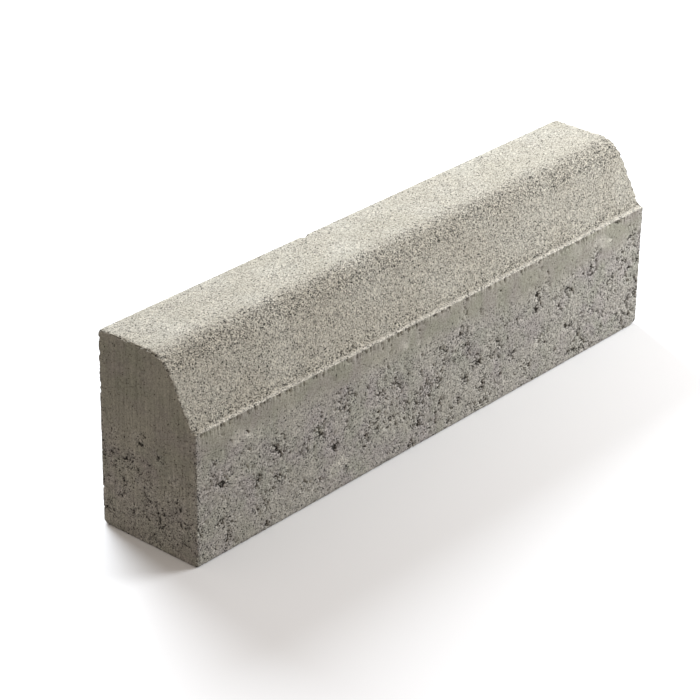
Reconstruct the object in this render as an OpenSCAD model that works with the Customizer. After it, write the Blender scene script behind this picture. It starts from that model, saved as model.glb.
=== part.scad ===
// Splayed road kerb, cast in concrete as one stone.
// Frame: +X runs along the kerb, -Y is the roadway side, +Z is up.
// The origin is the middle of the bed, the face that the stone stands on.

/* [Stone] */
// Length of the stone along the road
stone_length = 1000; // [400:10:1200]
// Width of the bed, from the roadway face to the back
stone_width = 180; // [140:5:220]
// Height from the bed to the top
stone_height = 300; // [250:5:360]

/* [Splay] */
// Height of the upright roadway face, from the bed to the ledge
face_height = 203; // [150:1:243]
// How far the sloping face leans back from the ledge to the level of the top
splay_run = 51; // [20:1:65]
// Radius of the nose, where the sloping face turns into the top
nose_radius = 50; // [10:1:60]

/* [Ledge] */
// Width of the ledge at the foot of the sloping face
ledge_width = 8; // [4:0.5:14]
// How much the ledge falls towards the roadway, to shed water
ledge_fall = 2; // [0:0.5:4]
// Radius in the corner between the ledge and the sloping face
ledge_root_radius = 2; // [0.5:0.25:3]
// Radius of the ledge's outer edge
ledge_edge_radius = 1.5; // [0.5:0.25:2.5]

/* [Arrises] */
// Radius of the arris between the top and the back
back_arris_radius = 6; // [2:0.5:12]
// Radius of the two long arrises of the bed
bed_arris_radius = 3; // [1:0.5:8]
// Radius of the four upright arrises at the ends
end_arris_radius = 3; // [1:0.5:8]

/* [Hidden] */

$fn = 96;
// The part of a straight stretch that the fillets at its two ends may take up
fillet_share = 0.95;

front_y = -stone_width / 2;
back_y = stone_width / 2;
splay_foot = [front_y + ledge_width, face_height + ledge_fall];
splay_head = [splay_foot[0] + splay_run, stone_height];

// The nose is tangent to the top and the sloping face, and stays within the shorter of them
nose_turn = atan2(stone_height - splay_foot[1], splay_run);
nose_room = min(norm(splay_head - splay_foot) - ledge_root_radius, back_y - back_arris_radius - splay_head[0]);
nose_fit = min(nose_radius, fillet_share * nose_room / tan(nose_turn / 2));

// Corners of the cross-section as [y, z, radius], anticlockwise from the foot of the roadway face
section_corners = [
    [front_y, 0, bed_arris_radius],
    [back_y, 0, bed_arris_radius],
    [back_y, stone_height, back_arris_radius],
    [splay_head[0], splay_head[1], nose_fit],
    [splay_foot[0], splay_foot[1], ledge_root_radius],
    [front_y, face_height, ledge_edge_radius],
];

// Corners of the plan as [x, y, radius], anticlockwise
plan_corners = [
    for (corner = [[-1, -1], [1, -1], [1, 1], [-1, 1]])
        [corner[0] * stone_length / 2, corner[1] * stone_width / 2, end_arris_radius]
];

function point(corner) = [corner[0], corner[1]];
function unit(v) = v / norm(v);
function cross_z(a, b) = a[0] * b[1] - a[1] * b[0];

// Unit vectors from corner i towards the corners before and after it
function towards(corners, i) =
    let (
        n = len(corners),
        here = point(corners[i]),
        before = point(corners[(i + n - 1) % n]),
        after = point(corners[(i + 1) % n])
    )
    [unit(before - here), unit(after - here)];

// Half the angle between the two edges that meet at corner i
function half_angle(corners, i) =
    let (ways = towards(corners, i))
    acos(ways[0] * ways[1]) / 2;

// The two points where the fillet of corner i meets its edges
function tangent_points(corners, i) =
    let (
        ways = towards(corners, i),
        reach = corners[i][2] / tan(half_angle(corners, i))
    )
    [for (way = ways) point(corners[i]) + reach * way];

// The centre of the fillet of corner i
function fillet_centre(corners, i) =
    let (ways = towards(corners, i))
    point(corners[i]) + corners[i][2] / sin(half_angle(corners, i)) * unit(ways[0] + ways[1]);

// True where the outline turns left, so that its corner stands out
function stands_out(corners, i) =
    let (ways = towards(corners, i))
    cross_z(-ways[0], ways[1]) > 0;

// A closed outline with a true arc at every corner
module filleted_outline(corners) {
    last = len(corners) - 1;
    difference() {
        union() {
            polygon([for (i = [0:last]) each tangent_points(corners, i)]);
            for (i = [0:last])
                if (stands_out(corners, i))
                    translate(fillet_centre(corners, i)) circle(r = corners[i][2]);
        }
        for (i = [0:last])
            if (!stands_out(corners, i))
                translate(fillet_centre(corners, i)) circle(r = corners[i][2]);
    }
}

// The cross-section drawn along the whole length
module section_bar() {
    rotate([90, 0, 90])
        linear_extrude(height = stone_length, center = true)
            filleted_outline(section_corners);
}

// An upright block with the stone's plan
module plan_block() {
    linear_extrude(height = stone_height)
        filleted_outline(plan_corners);
}

// The whole stone: its section, with the ends' upright arrises rounded
module kerb_stone() {
    color("#a6a49c")
        intersection() {
            section_bar();
            plan_block();
        }
}

kerb_stone();
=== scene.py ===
# Looks of a precast road kerb stone: one block of dry-cast concrete, tamped into a steel mould and
# drawn out at once. Frame: +X runs along the kerb, -Y is the roadway side, +Z is up. All lengths
# are in metres, except where a comment says mm.
import itertools
import math

import bmesh
import bpy
import numpy as np
from mathutils import Matrix, Vector
from mathutils.bvhtree import BVHTree


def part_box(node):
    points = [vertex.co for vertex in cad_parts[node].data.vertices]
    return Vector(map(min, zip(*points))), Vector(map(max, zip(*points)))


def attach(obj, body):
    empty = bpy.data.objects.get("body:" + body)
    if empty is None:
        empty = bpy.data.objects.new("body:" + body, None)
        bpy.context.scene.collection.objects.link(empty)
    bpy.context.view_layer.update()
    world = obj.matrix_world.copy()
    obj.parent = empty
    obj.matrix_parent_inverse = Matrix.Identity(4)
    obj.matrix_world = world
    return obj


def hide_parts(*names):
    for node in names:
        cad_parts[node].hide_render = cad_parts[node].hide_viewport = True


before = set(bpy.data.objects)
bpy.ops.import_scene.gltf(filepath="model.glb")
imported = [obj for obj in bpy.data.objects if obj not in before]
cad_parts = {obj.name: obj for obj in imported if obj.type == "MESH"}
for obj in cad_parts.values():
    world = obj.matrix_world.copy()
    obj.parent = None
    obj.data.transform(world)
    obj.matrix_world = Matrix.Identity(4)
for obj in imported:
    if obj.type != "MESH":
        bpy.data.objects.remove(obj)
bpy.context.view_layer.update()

low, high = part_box("kerb_stone")
MM = 0.001

# ---- The cast shape ------------------------------------------------------------------------------

LEDGE_HEIGHT = 203 * MM
LEDGE_WIDTH = 8 * MM
LEDGE_FALL = 2 * MM
SPLAY_RUN = 51 * MM
# Corners of the section as (y, z, radius of the arris), from the foot of the roadway face round by
# the back
SECTION = (
    (low.y, low.z, 3 * MM),
    (high.y, low.z, 3 * MM),
    (high.y, high.z, 6 * MM),
    (low.y + LEDGE_WIDTH + SPLAY_RUN, high.z, 50 * MM),
    (low.y + LEDGE_WIDTH, LEDGE_HEIGHT + LEDGE_FALL, 2 * MM),
    (low.y, LEDGE_HEIGHT, 1.5 * MM),
)
END_ARRIS_RADIUS = 3 * MM
# Length of one straight step round an arris
ARC_STEP = 1.5 * MM
# Two places nearer than this are one
SAME_PLACE = 1e-6

# The worked skin starts as a net this fine, and keeps this many triangles where the relief needs them
NET = 1.1 * MM
SKIN_TRIANGLES = 196_000
# Smoothing steps that round an arris as far as wear does: 12 on a net of 1.25 mm
WEAR_STEPS = round(12 * (1.25 * MM / NET) ** 2)


def bevel_arris(bm, edges, radius, turn):
    """Rounds edges at which the surface turns by that angle, in radians."""
    bmesh.ops.bevel(
        bm,
        geom=edges,
        offset=radius * math.tan(turn / 2),
        offset_type="OFFSET",
        segments=max(3, round(radius * turn / ARC_STEP)),
        profile=0.5,
        affect="EDGES",
        material=-1,
    )


def mould_blank():
    """The stone before any wear: its section drawn along the whole length, with every arris rounded."""
    bm = bmesh.new()
    section = bm.faces.new([bm.verts.new((low.x, y, z)) for y, z, _ in SECTION])
    drawn = bmesh.ops.extrude_face_region(bm, geom=[section])
    moved = [v for v in drawn["geom"] if isinstance(v, bmesh.types.BMVert)]
    bmesh.ops.translate(bm, verts=moved, vec=(high.x - low.x, 0, 0))
    bmesh.ops.recalc_face_normals(bm, faces=bm.faces)
    for i, (y, z, radius) in enumerate(SECTION):
        corner = Vector((y, z))
        before = corner - Vector(SECTION[i - 1][:2])
        after = Vector(SECTION[(i + 1) % len(SECTION)][:2]) - corner
        edges = [e for e in bm.edges if all((v.co.yz - corner).length < SAME_PLACE for v in e.verts)]
        bevel_arris(bm, edges, radius, before.angle(after))
    upright = [e for e in bm.edges if is_end_arris(e)]
    bevel_arris(bm, upright, END_ARRIS_RADIUS, math.pi / 2)
    return bm


def is_end_arris(edge):
    """True for the long upright edges at the stone's four corners."""
    a, b = (v.co for v in edge.verts)
    on_side = min(abs(a.y - low.y), abs(a.y - high.y)) < SAME_PLACE
    return on_side and abs(a.z - b.z) > LEDGE_HEIGHT / 2


def as_object(data, name):
    """A new object in the scene with that mesh, light or camera."""
    made = bpy.data.objects.new(name, data)
    bpy.context.scene.collection.objects.link(made)
    return made


def modified(mesh, kind, **settings):
    """A new mesh: this one with one modifier applied."""
    carrier = as_object(mesh, "carrier")
    modifier = carrier.modifiers.new(kind, kind)
    for name, value in settings.items():
        setattr(modifier, name, value)
    graph = bpy.context.evaluated_depsgraph_get()
    result = bpy.data.meshes.new_from_object(carrier.evaluated_get(graph), depsgraph=graph)
    bpy.data.objects.remove(carrier)
    return result


def vectors_of(mesh, name):
    """The vertices' places ("co") or normals ("normal") as rows of three."""
    found = np.empty(len(mesh.vertices) * 3, np.float32)
    mesh.vertices.foreach_get(name, found)
    return found.reshape(-1, 3)


def put_places(mesh, places):
    """Moves the vertices to these places, given as rows of three."""
    mesh.vertices.foreach_set("co", places.astype(np.float32).ravel())
    mesh.update()


# ---- Noise for the relief ------------------------------------------------------------------------

# Odd numbers with well-mixed bits, which make the dice
HASH_AXES = (0x8DA6B343, 0xD8163841, 0xCB1AB31F)
HASH_MIX = (0x2C1B3C6D, 0x297A2D39)
HASH_SALT = 0x9E3779B1
HASH_MAX = 0xFFFFFFFF
# Turns each noise off the stone's own axes, so that its cells don't line up with the faces
ASKEW = np.array(Matrix.Rotation(0.7, 3, Vector((0.4, 1, 0.7))), np.float32)


def dice(cell, salt):
    """A number from 0 to 1 for each whole-number cell, always the same for one cell and salt."""
    n = np.full(len(cell), salt * HASH_SALT & HASH_MAX, np.uint32)
    for axis, prime in enumerate(HASH_AXES):
        n ^= cell[:, axis].astype(np.int64).astype(np.uint32) * np.uint32(prime)
    for prime in HASH_MIX:
        n ^= n >> np.uint32(15)
        n *= np.uint32(prime)
    n ^= n >> np.uint32(16)
    return n.astype(np.float32) / np.float32(HASH_MAX)


def dice_point(cell, salt):
    """A place in each cell, with the sides of the cell as the unit."""
    return cell + np.stack([dice(cell, salt + k) for k in range(3)], 1)


def ease(x, start, end):
    """Rises smoothly from 0 at start to 1 at end."""
    t = np.clip((x - start) / (end - start), 0, 1)
    return t * t * (3 - 2 * t)


def swell(points, size, salt):
    """Smooth noise from -1 to 1 whose hills lie about size apart."""
    at = points @ ASKEW.T / np.float32(size)
    cell = np.floor(at)
    t = at - cell
    t = t * t * (3 - 2 * t)
    total = np.zeros(len(points), np.float32)
    for corner in itertools.product((0, 1), repeat=3):
        share = np.prod(np.where(np.array(corner, bool), t, 1 - t), axis=1)
        total += share * dice(cell + np.array(corner, np.float32), salt)
    return 2 * total - 1


def rough(points, size, salt, octaves=3):
    """Noise from about -1 to 1 with finer and finer detail."""
    total = sum(swell(points, size / 2**k, salt + k) / 2**k for k in range(octaves))
    return total / (2 - 0.5 ** (octaves - 1))


def pores(points, spacing, share, salt):
    """Round pores in a share of the cells: 1 at the middle of the largest pores and 0 outside them."""
    at = points @ ASKEW.T / np.float32(spacing)
    first = np.floor(at - 0.5)
    found = np.zeros(len(points), np.float32)
    for corner in itertools.product((0, 1), repeat=3):
        cell = first + np.array(corner, np.float32)
        radius = 0.25 + 0.25 * dice(cell, salt + 3) ** 1.5
        bowl = 1 - ((at - dice_point(cell, salt)) ** 2).sum(1) / radius**2
        found = np.maximum(found, np.where(dice(cell, salt + 4) < share, bowl, 0) * radius * 2)
    return found


def grain_seams(points, size, salt):
    """How far each point is from the seam of its two nearest grains, and from where three meet."""
    at = points @ ASKEW.T / np.float32(size)
    base = np.floor(at)
    gaps = []
    for corner in itertools.product((-1, 0, 1), repeat=3):
        middle = dice_point(base + np.array(corner, np.float32), salt)
        gaps.append(((at - middle) ** 2).sum(1))
    nearest = np.sqrt(np.partition(np.array(gaps), 2, axis=0)[:3]) * size
    return (nearest[1] - nearest[0]) / 2, (nearest[2] - nearest[0]) / 2


def bent(points, reach, size, salt):
    """The points moved about by smooth noise, so that a pattern read there loses its round shapes."""
    return points + np.float32(reach) * np.stack([swell(points, size, salt + k) for k in range(3)], 1)


# ---- The worked surface --------------------------------------------------------------------------

# The last whole number in each call of a noise is its salt, which sets it apart from the others.

# Torn patches in the drawn faces, where the mix was too dry: (along, across, above, reach), in mm
# from the start, the roadway face and the bed
TORN_PATCHES = (
    # The roadway face
    (305, 0, 144, 20), (295, 0, 126, 16), (165, 0, 118, 22), (115, 0, 90, 15), (57, 0, 22, 15),
    (35, 0, 147, 8), (50, 0, 110, 14), (52, 0, 50, 16), (160, 0, 71, 13), (135, 0, 8, 10),
    (215, 0, 40, 9), (242, 0, 33, 10), (220, 0, 100, 16), (250, 0, 110, 18), (278, 0, 78, 12),
    (345, 0, 56, 16), (375, 0, 116, 13), (412, 0, 120, 20), (425, 0, 70, 19), (472, 0, 80, 32),
    (472, 0, 108, 12), (462, 0, 38, 11), (445, 0, 11, 9), (500, 0, 90, 20), (510, 0, 50, 10),
    (512, 0, 134, 10), (556, 0, 150, 18), (568, 0, 117, 16), (566, 0, 68, 16), (592, 0, 86, 12),
    (552, 0, 38, 10), (535, 0, 17, 13), (605, 0, 42, 14), (620, 0, 16, 10), (642, 0, 88, 22),
    (660, 0, 125, 11), (675, 0, 66, 12), (688, 0, 118, 12), (715, 0, 36, 14), (735, 0, 120, 12),
    (745, 0, 143, 24), (748, 0, 70, 14), (785, 0, 40, 10), (795, 0, 106, 12), (800, 0, 26, 9),
    (812, 0, 123, 11), (820, 0, 63, 11), (838, 0, 20, 20), (845, 0, 40, 16), (864, 0, 16, 18),
    (886, 0, 22, 16), (870, 0, 136, 18), (882, 0, 160, 13), (875, 0, 70, 13), (900, 0, 56, 12),
    (912, 0, 82, 18), (923, 0, 104, 16), (940, 0, 28, 18), (950, 0, 128, 16), (968, 0, 96, 18),
    (976, 0, 158, 20), (976, 0, 50, 20), (990, 0, 58, 20), (976, 0, 26, 18), (962, 0, 16, 12),
    (990, 0, 120, 16),
    # The face at the start
    (0, 107, 158, 12), (0, 71, 140, 13), (0, 155, 154, 14), (0, 128, 119, 18), (0, 142, 110, 14),
    (0, 45, 119, 11), (0, 34, 81, 15), (0, 53, 85, 12), (0, 140, 64, 15), (0, 132, 77, 12),
    (0, 88, 86, 17), (0, 82, 71, 14), (0, 70, 56, 15), (0, 53, 54, 17), (0, 117, 40, 15),
    (0, 99, 44, 15), (0, 86, 12, 14), (0, 47, 19, 12), (0, 165, 28, 12), (0, 172, 75, 12),
)
# Spots of pale cement scum on the roadway face: (along, above, reach), in mm
SCUM_SPOTS = (
    (80, 170, 17), (98, 163, 14), (120, 159, 13), (289, 46, 17), (270, 39, 13), (304, 40, 12),
    (745, 64, 11), (884, 186, 26), (910, 176, 16), (828, 184, 14), (430, 176, 12), (452, 170, 9),
)
# Bites knocked out of the arrises: (along, across, above) of the middle and the radius, in mm from
# the start, the roadway face and the bed
BITES = (
    (405, 182, 302, 12), (590, 182, 303, 7), (16, 183, 303, 6), (940, 183, 302, 6), (1003, -2, 170, 6),
    (1004, -6, -6, 17), (-4, 186, -5, 14), (-3, 186, 305, 12), (-4, -4, 205, 8), (-3, 60, 303, 6),
    (-3, 26, 262, 6), (250, -3, -3, 6), (560, -4, -3, 7), (-3, -3, 20, 6), (730, 183, 303, 4),
    (1003, 90, 302, 5), (1003, 183, 120, 6),
)
# The relief is nowhere deeper than this, in mm
DEEPEST = 5


def from_corner(points):
    """Lengths along from the start, across from the roadway face and above the bed, in mm."""
    return (points - np.array((low.x, low.y, low.z), np.float32)) / np.float32(MM)


def above_ledge(points):
    """Height above the ledge's outer edge, in mm."""
    return from_corner(points)[:, 2] - LEDGE_HEIGHT / MM


def faces_of(normals):
    """Shares of the tamped faces (top, nose, slope and ledge), the drawn upright faces and the bed."""
    up = normals[:, 2]
    tamped = ease(up, 0.25, 0.45)
    bed = ease(-up, 0.5, 0.8)
    return tamped, np.clip(1 - tamped - bed, 0, 1), bed


def end_share(normals, start=0.5):
    """1 on the two end faces and 0 on the long ones."""
    return ease(np.abs(normals[:, 0]), start, 0.8)


def roadway_share(normals):
    """1 on the faces that look to the roadway and 0 on the ends, the back, the top and the bed."""
    return ease(-normals[:, 1], 0.5, 0.8)


def torn_share(points):
    """Where the drawn faces are torn open, from 0 to 1: the patches, and looser stretches low down."""
    place = from_corner(points)
    patches = np.zeros(len(points), np.float32)
    for *middle, reach in TORN_PATCHES:
        away = np.linalg.norm(place - np.array(middle, np.float32), axis=1) / reach
        patches = np.maximum(patches, 0.92 * np.exp(-(away**2)))
    roadway = 1 - ease(place[:, 1], 8, 14)
    loose = ease(rough(points, 50 * MM, 11), 0.0, 0.5) * (1 - ease(place[:, 2], 120, 190))
    torn = np.maximum(patches, loose * (0.8 - 0.35 * roadway))
    return np.clip(torn + 0.3 * swell(points, 15 * MM, 17) - 0.1, 0, 1)


def tamped_openness(points, normals):
    """Openness of the tamped faces: most on the nose and at the foot of the slope. The sloping faces are
    a little more open too, partly as painted shade, since their extra dark pores darken them.
    """
    up = normals[:, 2]
    over = above_ledge(points)
    nose = ease(up, 0.46, 0.62) * (1 - ease(up, 0.9, 0.999))
    foot = ease(over, 0.5, 3) * (1 - ease(over, 5, 12)) * (1 - ease(up, 0.5, 0.6))
    patchy = rough(points, 40 * MM, 5)
    # The sloping faces get a little more openness: partly coarser texture, partly painted shade that
    # darkens the side turned from the key light
    return 0.42 + 0.12 * (1 - ease(up, 0.6, 0.99)) + 0.42 * nose + 0.3 * foot + 0.12 * patchy


def drawn_openness(points, normals):
    """Openness of the drawn faces: a closed band below the ledge, closed ends, and sandy arrises."""
    hidden = 1 - roadway_share(normals)
    wavering = 14 * rough(points, 110 * MM, 19) - above_ledge(points)
    below_band = ease(wavering, 22 - 50 * hidden, 64 + 50 * hidden)
    opened = 0.04 + 0.42 * below_band + 0.2 * rough(points, 40 * MM, 5) * below_band
    at_end = end_share(normals)
    opened += at_end * (0.06 - 0.75 * opened + 0.12 * (1 - ease(from_corner(points)[:, 2], 60, 170)))
    to_corner = (np.array((high.x, high.y), np.float32) - np.abs(points[:, :2])) / MM
    to_arris = np.hypot(*to_corner.T)
    opened += 0.4 * (1 - ease(to_arris, 1, 5)) + 0.2 * (1 - at_end) * (1 - ease(to_arris, 4, 16))
    return opened + 0.4 * torn_share(points)


def openness(points, normals):
    """How open the texture is, from 0 for a closed skin of cement to 1 for bare sand with pores."""
    tamped, drawn, bed = faces_of(normals)
    upright = drawn * drawn_openness(points, normals)
    return np.clip(tamped * tamped_openness(points, normals) + upright + bed * 0.8, 0, 1)


def paste_share(points, normals):
    """Where pale cement paste lies, from 0 to 1: along the ledge and in a few spots below it."""
    along, across, above = from_corner(points).T
    over = above_ledge(points)
    ragged = 1.2 * rough(points, 7 * MM, 121, 2)
    on_ledge = ease(over + 0.4 * ragged, -1.6, -0.2) * (1 - ease(across + 0.7 * ragged, 4.5, 7.5))
    on_ledge = on_ledge * ease(normals[:, 2], 0.1, 0.5) * ease(along + 4 * ragged, 4, 24)
    spots = np.zeros(len(points), np.float32)
    for x, z, reach in SCUM_SPOTS:
        away = np.hypot(along - x, above - z) / reach
        spots = np.maximum(spots, 1 - ease(away + 0.5 * ragged, 0.2, 1.1))
    flecks = 0.35 + 0.65 * ease(rough(points, 5 * MM, 125, 2), -0.25, 0.25)
    return np.maximum(on_ledge, spots * flecks * roadway_share(normals) * (over < -10))


def streaks_of(points, normals):
    """How much drawing marks show: faint on the long faces, plainer on the ends, most below the ledge."""
    drawn = faces_of(normals)[1]
    under = 5 * rough(points, 12 * MM, 131, 2) - above_ledge(points)
    below_ledge = roadway_share(normals) * (1 - ease(under, 4, 13))
    return drawn * (0.35 + 0.65 * end_share(normals) + 2.2 * below_ledge)


# The functions below give depths in mm.


def arris_nicks(points):
    """Nicks where grains broke away, with a ragged edge along the ends' upper arrises."""
    from_end = (high.x - np.abs(points[:, 0])) / MM
    upper = ease(above_ledge(points), -1, 2) * (1 - ease(from_end, 3, 5))
    ragged = upper * ease(swell(points, 3.4 * MM, 39), -0.25, 0.4)
    return 0.3 * rough(points, 5 * MM, 35, 2) + 1.7 * pores(points, 3.8 * MM, 0.45, 37) + 2.6 * ragged


def sandy_pores(points):
    """Open pores between the grains of the tamped faces."""
    return pores(points, 4 * MM, 0.5, 21) * 2.2 + 0.3 * rough(points, 3 * MM, 31, 2)


def foot_pits(points, normals):
    """Pits in a row at the foot of the slope."""
    over = above_ledge(points)
    foot = ease(over, 2, 4) * (1 - ease(over, 7, 11)) * (1 - ease(normals[:, 2], 0.55, 0.7))
    return foot * pores(points, 5.5 * MM, 0.6, 25) * 2.2


def honeycomb(points, torn):
    """Voids between the stones of the mix: short arcs along them, and deeper nests where three meet."""
    shaken = bent(points, 1.4 * MM, 3.5 * MM, 41)
    depth = np.zeros(len(points), np.float32)
    for size, start, salt in ((12 * MM, 0.66, 51), (6.5 * MM, 0.86, 56)):
        seam, nest = grain_seams(shaken, size, salt)
        width = (0.55 + 0.35 * swell(points, 9 * MM, salt + 3)) * MM
        kept = ease(swell(points, 6 * MM, salt + 4) + 0.8 * torn, start, start + 0.12)
        arcs = (1 - ease(seam, 0.3 * width, width + 0.25 * MM)) * kept
        nested = ease(swell(points, 9 * MM, salt + 5) + 0.8 * torn, start, start + 0.12)
        nests = (1 - ease(nest, 0.4 * MM, 1.45 * MM)) * nested
        depth = np.maximum(depth, arcs * 2.4 + nests * 2.0)
    return depth


def single_pores(points, shaken, torn, at_end):
    """Single pores of the drawn faces, more of them low down and in the torn patches."""
    patchy = 0.6 + 0.4 * ease(rough(points, 60 * MM, 15), -0.4, 0.3)
    lower = ease(-above_ledge(points), 30, 80) * patchy * (1 - 0.6 * at_end)
    large = pores(shaken, 6 * MM, 0.006 + 0.03 * lower + 0.1 * torn, 71)
    small = pores(shaken, 3.6 * MM, 0.015 + 0.12 * lower + 0.22 * torn, 81)
    return 2.6 * large + 2.4 * small


def end_cracks(points, shaken, torn):
    """Short cracks, which the dry mix left in the end faces as the mould was drawn off."""
    crack = 1 - ease(np.abs(swell(shaken, 18 * MM, 141)), 0.02, 0.1)
    lower = ease(-above_ledge(points), -40, 60)
    cracked = ease(swell(points, 12 * MM, 143) + 0.5 * torn + 0.15 * lower, 0.45, 0.65)
    return 1.5 * crack * cracked


def drag_teeth(points):
    """Teeth that the mould wall dragged down from the ledge's edge."""
    under = -above_ledge(points)
    uneven = 0.3 * swell(points, 24 * MM, 97) + 0.4 * swell(points, 5 * MM, 98)
    comb = points * np.array((1, 1, 0.15), np.float32)
    teeth = ease(swell(comb, 2.2 * MM, 91) + uneven, 0.05, 0.45)
    reach = 1 - ease(under + 3 * swell(points, 4 * MM, 93), 5, 10 + 3 * swell(points, 20 * MM, 95))
    return 1.7 * teeth * reach * ease(under, 0.5, 2)


def pallet_grain(points):
    """The grain of the pallet that the bed was cast on, drawn out along the stone."""
    return 0.3 + 0.5 * rough(points * np.array((0.2, 1, 1), np.float32), 7 * MM, 99)


def relief_of(points, normals, edge):
    """How deep each point lies below the mould's own face. The edge share is 1 on an arris."""
    tamped, drawn, bed = faces_of(normals)
    at_end = end_share(normals, 0.3)
    loose = openness(points, normals)
    torn = drawn * torn_share(points)
    broken = torn > 0.02
    shaken = bent(points, 1.2 * MM, 3.5 * MM, 45)
    grain = 0.22 * loose * rough(points, 3.5 * MM, 33, 2)
    depth = 0.2 + 0.15 * swell(points, 90 * MM, 1) + 0.12 * rough(points, 14 * MM, 2)
    depth += edge * arris_nicks(points)
    depth += tamped * (loose**2 * sandy_pores(points) + foot_pits(points, normals))
    depth[broken] += honeycomb(points[broken], (torn * (1 - 0.3 * at_end))[broken])
    depth += drawn * (grain + single_pores(points, shaken, torn, at_end))
    depth += drawn * at_end * end_cracks(points, shaken, torn)
    depth += drawn * roadway_share(normals) * drag_teeth(points)
    depth += bed * pallet_grain(points)
    return np.clip(depth, 0, DEEPEST)


def bites():
    """The middle and radius of each bite."""
    start = np.array((low.x, low.y, low.z), np.float32)
    for *place, radius in BITES:
        yield start + np.array(place, np.float32) * MM, radius * MM


def bitten(points):
    """The points with each bite pressed in to its own rough hollow."""
    for middle, radius in bites():
        out = points - middle
        away = np.linalg.norm(out, axis=1)
        near = np.where(away < 1.5 * radius)[0]
        reach = radius * (1 + 0.25 * rough(points[near], 5 * MM, 101, 2))
        share = np.maximum(1, reach / np.maximum(away[near], SAME_PLACE))
        points[near] = middle + out[near] * share[:, None]
    return points


def in_bite(points):
    """True where a bite took the skin away: the break gets no painted shade and is as pale as the rest of
    the concrete.
    """
    found = np.zeros(len(points), bool)
    for middle, radius in bites():
        found |= np.linalg.norm(points - middle, axis=1) < 1.3 * radius
    return found


def worked_skin():
    """The stone's skin with its wear and relief, thinned to the triangles it may have."""
    blank = bpy.data.meshes.new("blank")
    bm = mould_blank()
    bm.to_mesh(blank)
    bm.free()
    net = modified(blank, "REMESH", mode="VOXEL", voxel_size=NET)
    places, normals = vectors_of(net, "co"), vectors_of(net, "normal")
    rounded = vectors_of(modified(net, "SMOOTH", factor=0.5, iterations=WEAR_STEPS), "co")
    moved = rounded - places
    edge = ease(np.linalg.norm(moved, axis=1), 0.03 * MM, 0.2 * MM)
    wear = ease(rough(places, 16 * MM, 111), -0.5, 0.9)
    shaped = places + moved * wear[:, None]
    shaped -= normals * (relief_of(places, normals, edge) * MM)[:, None]
    put_places(net, bitten(shaped))
    skin = modified(net, "DECIMATE", ratio=SKIN_TRIANGLES / (2 * len(net.polygons)))
    inside = np.clip(vectors_of(skin, "co"), np.array(low, np.float32), np.array(high, np.float32))
    put_places(skin, inside)
    return skin


def write_attributes(mesh):
    """Tells the material, point by point, what the skin is like there.

    "hollow" is the depth below the mould's face in mm, which the material turns into painted shade in
    the hollows, "tamped" tells the tamped faces from the drawn ones, "streaked" is how much drawing
    marks show, "open" is how open the texture is, and "paste" is where pale cement paste lies.
    """
    bm = mould_blank()
    surface = BVHTree.FromBMesh(bm)
    bm.free()
    nearest = [surface.find_nearest(v.co) for v in mesh.vertices]
    places, normals = (np.array([hit[k] for hit in nearest], np.float32) for k in (0, 1))
    values = {
        "hollow": np.where(in_bite(places), 0, np.array([hit[3] for hit in nearest]) / MM),
        "tamped": faces_of(normals)[0],
        "streaked": streaks_of(places, normals),
        "open": openness(places, normals),
        "paste": paste_share(places, normals),
    }
    for name, value in values.items():
        attribute = mesh.attributes.new(name, "FLOAT", "POINT")
        attribute.data.foreach_set("value", value.astype(np.float32))


# ---- The concrete --------------------------------------------------------------------------------

# Cement on the drawn faces, in soft patches of three greys
COOL_CEMENT, GREEN_CEMENT, GREY_CEMENT = "#aba59f", "#a8a69a", "#b3afa4"
# Cement on the tamped faces, in paler patches
SANDY_CEMENT, PALE_SANDY_CEMENT = "#aba698", "#b0ac9f"
# The film that lies on a closed skin takes a little of the blue
CLOSED_FILM = "#fffff7"
PALE_PASTE = "#d0ccbf"
# Painted shade: the colour that the deeper hollows of the relief are darkened towards
VOID_PAINTED_SHADE = "#2e2b26"
# Sand of 1 to 2 mm, drawn a little coarser than it is so that it shows
FINE_SAND = 1.4 * MM
COARSE_SAND = 2.2 * MM


def colour(code):
    """An sRGB hex colour as a linear one."""
    parts = [int(code[i : i + 2], 16) / 255 for i in (1, 3, 5)]
    linear = [c / 12.92 if c <= 0.04045 else ((c + 0.055) / 1.055) ** 2.4 for c in parts]
    return (*linear, 1)


def node(tree, kind, inputs=None, **settings):
    """Adds a node. An input is a value, a socket to link, or a node whose first output is linked."""
    made = tree.nodes.new(kind)
    for name, value in settings.items():
        setattr(made, name, value)
    for name, value in (inputs or {}).items():
        if isinstance(value, bpy.types.Node):
            value = value.outputs[0]
        if isinstance(value, bpy.types.NodeSocket):
            tree.links.new(value, made.inputs[name])
        else:
            made.inputs[name].default_value = value
    return made


def sand(tree, place, size, opened, fewest, most):
    """Sand grains of that size: each grain's tone and the pores left by missing ones, from 0 to 1."""
    cells = node(tree, "ShaderNodeTexVoronoi", {"Vector": place, "Scale": 1 / size})
    lots = node(tree, "ShaderNodeSeparateColor", {"Color": cells.outputs["Color"]})
    chance = node(tree, "ShaderNodeMapRange", {"Value": opened, "To Min": fewest, "To Max": most})
    lot = {"Value": lots.outputs["Green"], "From Max": chance, "To Min": 0.75, "To Max": 0.0}
    reach = node(tree, "ShaderNodeMapRange", lot)
    inside = node(tree, "ShaderNodeMath", {0: reach, 1: cells.outputs["Distance"]}, operation="SUBTRACT")
    pore = node(tree, "ShaderNodeMapRange", {"Value": inside, "From Max": 0.2})
    return lots.outputs["Red"], pore


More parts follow.
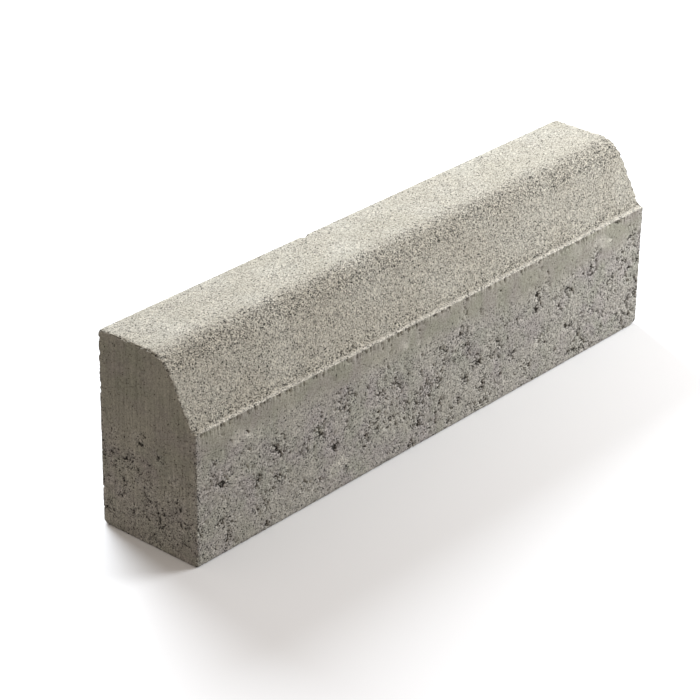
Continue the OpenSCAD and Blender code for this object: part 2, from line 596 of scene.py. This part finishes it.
def cement(tree, place, marks):
    """Cement colour: soft grey patches on the drawn faces, with paler tamped faces and paste."""
    patches = node(tree, "ShaderNodeTexNoise", {"Vector": place, "Scale": 1 / (70 * MM), "Detail": 3})
    tints = node(tree, "ShaderNodeTexNoise", {"Vector": place, "Scale": 1 / (42 * MM), "Detail": 2})
    tint = node(tree, "ShaderNodeMapRange", {"Value": tints, "From Min": 0.4, "From Max": 0.6})
    pale = node(tree, "ShaderNodeMapRange", {"Value": patches, "From Min": 0.42, "From Max": 0.66})
    drawn = {0: tint, 6: colour(COOL_CEMENT), 7: colour(GREEN_CEMENT)}
    drawn = node(tree, "ShaderNodeMix", drawn, data_type="RGBA").outputs[2]
    drawn = {0: pale, 6: drawn, 7: colour(GREY_CEMENT)}
    drawn = node(tree, "ShaderNodeMix", drawn, data_type="RGBA").outputs[2]
    sandy = {0: pale, 6: colour(SANDY_CEMENT), 7: colour(PALE_SANDY_CEMENT)}
    sandy = node(tree, "ShaderNodeMix", sandy, data_type="RGBA").outputs[2]
    base = {0: marks["tamped"], 6: drawn, 7: sandy}
    base = node(tree, "ShaderNodeMix", base, data_type="RGBA").outputs[2]

    # A closed skin is darker and yellower than an open one
    smear = {"Value": marks["open"], "From Max": 0.5, "To Min": 0.84, "To Max": 1.04}
    smear = node(tree, "ShaderNodeMapRange", smear)
    base = node(tree, "ShaderNodeVectorMath", {0: base, "Scale": smear}, operation="SCALE")
    shut = {"Value": marks["open"], "From Max": 0.5, "To Min": 1.0, "To Max": 0.0}
    shut = node(tree, "ShaderNodeMapRange", shut)
    film = {0: shut, 6: colour("#ffffff"), 7: colour(CLOSED_FILM)}
    film = node(tree, "ShaderNodeMix", film, data_type="RGBA").outputs[2]
    base = node(tree, "ShaderNodeVectorMath", {0: base, 1: film}, operation="MULTIPLY")
    pasted = {0: marks["paste"], 6: base, 7: colour(PALE_PASTE)}
    return node(tree, "ShaderNodeMix", pasted, data_type="RGBA").outputs[2]


def drawing_streaks(tree, place, marks):
    """Upright streaks, 3 mm apart, left by drawing the stone from the mould: 0 between light and dark."""
    streaky = node(tree, "ShaderNodeMapping", {"Vector": place, "Scale": (1, 1, 0.05)})
    streaks = node(tree, "ShaderNodeTexNoise", {"Vector": streaky, "Scale": 1 / (3 * MM), "Detail": 2})
    streaks = node(tree, "ShaderNodeMath", {0: streaks, 1: 0.5}, operation="SUBTRACT")
    return node(tree, "ShaderNodeMath", {0: streaks, 1: marks["streaked"]}, operation="MULTIPLY")


def grain_tone(tree, fine_tone, coarse_tone, pore, streaks, marks):
    """What the colour is multiplied by: each grain's tone, stronger where open, with painted shade near 0
    in the pores.
    """
    both = {0: coarse_tone, 1: 0.25, 2: fine_tone}
    both = node(tree, "ShaderNodeMath", both, operation="MULTIPLY_ADD")
    tones = {"Value": both, "From Max": 1.25, "To Min": -0.65, "To Max": 0.65}
    tones = node(tree, "ShaderNodeMapRange", tones)
    contrast = node(tree, "ShaderNodeMapRange", {"Value": marks["open"], "To Min": 0.4, "To Max": 1.4})
    lines = node(tree, "ShaderNodeMath", {0: streaks, 1: 0.7, 2: 1.0}, operation="MULTIPLY_ADD")
    tone = node(tree, "ShaderNodeMath", {0: tones, 1: contrast, 2: lines}, operation="MULTIPLY_ADD")
    # Painted shade: the pores between the grains are darkened nearly to black
    bare = node(tree, "ShaderNodeMapRange", {"Value": pore, "To Min": 1.03, "To Max": 0.04})
    return node(tree, "ShaderNodeMath", {0: tone, 1: bare}, operation="MULTIPLY")


def painted_void_shade(tree, fine_tone, marks):
    """How much painted shade a hollow gets, more the deeper it is, with a border as ragged as the grains
    in it.
    """
    ragged = {0: fine_tone, 1: -1.2, 2: marks["hollow"]}
    ragged = node(tree, "ShaderNodeMath", ragged, operation="MULTIPLY_ADD")
    deep = {"Value": ragged, "From Min": 0.7, "From Max": 1.6, "To Max": 0.85}
    return node(tree, "ShaderNodeMapRange", deep)


def grain_bump(tree, fine_tone, pore, streaks, marks):
    """Relief too fine for the mesh: the grains, their pores and the streaks."""
    grains = node(tree, "ShaderNodeMath", {0: pore, 1: -1.6, 2: fine_tone}, operation="MULTIPLY_ADD")
    strength = node(tree, "ShaderNodeMapRange", {"Value": marks["open"], "To Min": 0.15, "To Max": 0.7})
    grains = node(tree, "ShaderNodeMath", {0: grains, 1: strength}, operation="MULTIPLY")
    height = node(tree, "ShaderNodeMath", {0: streaks, 1: 0.4, 2: grains}, operation="MULTIPLY_ADD")
    return node(tree, "ShaderNodeBump", {"Height": height, "Distance": MM, "Strength": 1.0})


def dry_cast_concrete():
    """Dry-cast concrete, tamped and drawn from the mould at once: matt and sandy, with painted shade in
    its pores and hollows.
    """
    material = bpy.data.materials.new("dry_cast_concrete")
    material.use_nodes = True
    tree = material.node_tree
    tree.nodes.clear()
    place = node(tree, "ShaderNodeTexCoord").outputs["Object"]
    marks = {
        name: node(tree, "ShaderNodeAttribute", attribute_name=name).outputs["Fac"]
        for name in ("hollow", "tamped", "streaked", "open", "paste")
    }
    fine_tone, fine_pore = sand(tree, place, FINE_SAND, marks["open"], 0.04, 0.36)
    coarse_tone, coarse_pore = sand(tree, place, COARSE_SAND, marks["open"], 0.0, 0.36)
    pore = node(tree, "ShaderNodeMath", {0: fine_pore, 1: coarse_pore}, operation="MAXIMUM")
    streaks = drawing_streaks(tree, place, marks)
    tone = grain_tone(tree, fine_tone, coarse_tone, pore, streaks, marks)
    base = {0: cement(tree, place, marks), "Scale": tone}
    base = node(tree, "ShaderNodeVectorMath", base, operation="SCALE").outputs["Vector"]
    # Painted shade: the hollows of the relief are darkened with their depth
    base = {0: painted_void_shade(tree, fine_tone, marks), 6: base, 7: colour(VOID_PAINTED_SHADE)}
    base = node(tree, "ShaderNodeMix", base, data_type="RGBA").outputs[2]
    bump = grain_bump(tree, fine_tone, pore, streaks, marks)
    roughness = node(tree, "ShaderNodeMapRange", {"Value": fine_tone, "To Min": 0.85, "To Max": 0.98})
    inputs = {"Base Color": base, "Roughness": roughness, "Normal": bump, "Specular IOR Level": 0.3}
    shader = node(tree, "ShaderNodeBsdfPrincipled", inputs)
    node(tree, "ShaderNodeOutputMaterial", {"Surface": shader})
    return material


def kerb_stone():
    """The visible stone, in place of the plain CAD solid."""
    mesh = worked_skin()
    write_attributes(mesh)
    mesh.shade_smooth()
    mesh.materials.clear()
    mesh.materials.append(dry_cast_concrete())
    stone = as_object(mesh, "cast_kerb_stone")
    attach(stone, "root")
    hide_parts("kerb_stone")


# ---- Studio --------------------------------------------------------------------------------------

# The camera stands off the roadway side and looks down along the stone
VIEW_AZIMUTH = math.radians(-49.14)
VIEW_ELEVATION = math.radians(27.18)
VIEW_ROLL = math.radians(0.81)
VIEW_DISTANCE = 3.9136
AIM_RIGHT, AIM_UP = -59.23 * MM, -35.81 * MM
LENS_MM = 137.79
# How strongly the room's own light fills in
ROOM_STRENGTH = 0.47
# The floor reaches this far each way
FLOOR_REACH = 30


def camera():
    """A long lens on a tripod, aimed a little beside the stone's middle."""
    back = Vector((
        math.sin(VIEW_AZIMUTH) * math.cos(VIEW_ELEVATION),
        -math.cos(VIEW_AZIMUTH) * math.cos(VIEW_ELEVATION),
        math.sin(VIEW_ELEVATION),
    ))
    level_right = Vector((0, 0, 1)).cross(back).normalized()
    level_up = back.cross(level_right)
    right = math.cos(VIEW_ROLL) * level_right + math.sin(VIEW_ROLL) * level_up
    up = back.cross(right)
    aim = (low + high) / 2 + AIM_RIGHT * right + AIM_UP * up
    data = bpy.data.cameras.new("camera")
    data.lens = LENS_MM
    made = as_object(data, "camera")
    turn = Matrix((right, up, back)).transposed().to_4x4()
    made.matrix_world = Matrix.Translation(aim + back * VIEW_DISTANCE) @ turn
    bpy.context.scene.camera = made


def softbox(name, side, distance, size, power, tint):
    """A round softbox that far out from the stone's middle, on the side that the vector points to."""
    data = bpy.data.lights.new(name, "AREA")
    data.shape = "DISK"
    data.size = size
    data.energy = power
    data.color = colour(tint)[:3]
    made = as_object(data, name)
    out = Vector(side).normalized()
    made.location = (low + high) / 2 + out * distance
    made.rotation_euler = out.to_track_quat("Z", "Y").to_euler()


def white_paper():
    """Matt white paper, which lights the stone only as bare ground would, so its sides stay dark."""
    material = bpy.data.materials.new("white_paper")
    material.use_nodes = True
    tree = material.node_tree
    tree.nodes.clear()
    seen = node(tree, "ShaderNodeLightPath").outputs["Is Camera Ray"]
    shown = node(tree, "ShaderNodeBsdfDiffuse", {"Color": colour("#f6f6f4")})
    bounced = node(tree, "ShaderNodeBsdfDiffuse", {"Color": colour("#84817d")})
    mixed = node(tree, "ShaderNodeMixShader", {0: seen, 1: bounced, 2: shown})
    node(tree, "ShaderNodeOutputMaterial", {"Surface": mixed})
    return material


def floor():
    """A plain pale floor."""
    bm = bmesh.new()
    bmesh.ops.create_grid(bm, x_segments=1, y_segments=1, size=FLOOR_REACH)
    mesh = bpy.data.meshes.new("floor")
    bm.to_mesh(mesh)
    bm.free()
    mesh.materials.append(white_paper())
    as_object(mesh, "floor")


def studio():
    """Soft light from above and behind, a weaker softbox beyond the far end, and a dim warm room."""
    world = bpy.data.worlds.new("room")
    world.use_nodes = True
    bpy.context.scene.world = world
    background = world.node_tree.nodes["Background"]
    background.inputs["Color"].default_value = colour("#fff4ec")
    background.inputs["Strength"].default_value = ROOM_STRENGTH
    softbox("key", side=(0.25, 0.8, 0.55), distance=3.0, size=1.8, power=172, tint="#f0f6ff")
    softbox("side", side=(0.75, -0.52, 0.43), distance=2.5, size=1.4, power=65, tint="#f4f8ff")
    floor()
    bpy.context.scene.view_settings.view_transform = "Standard"


camera()
studio()
kerb_stone()
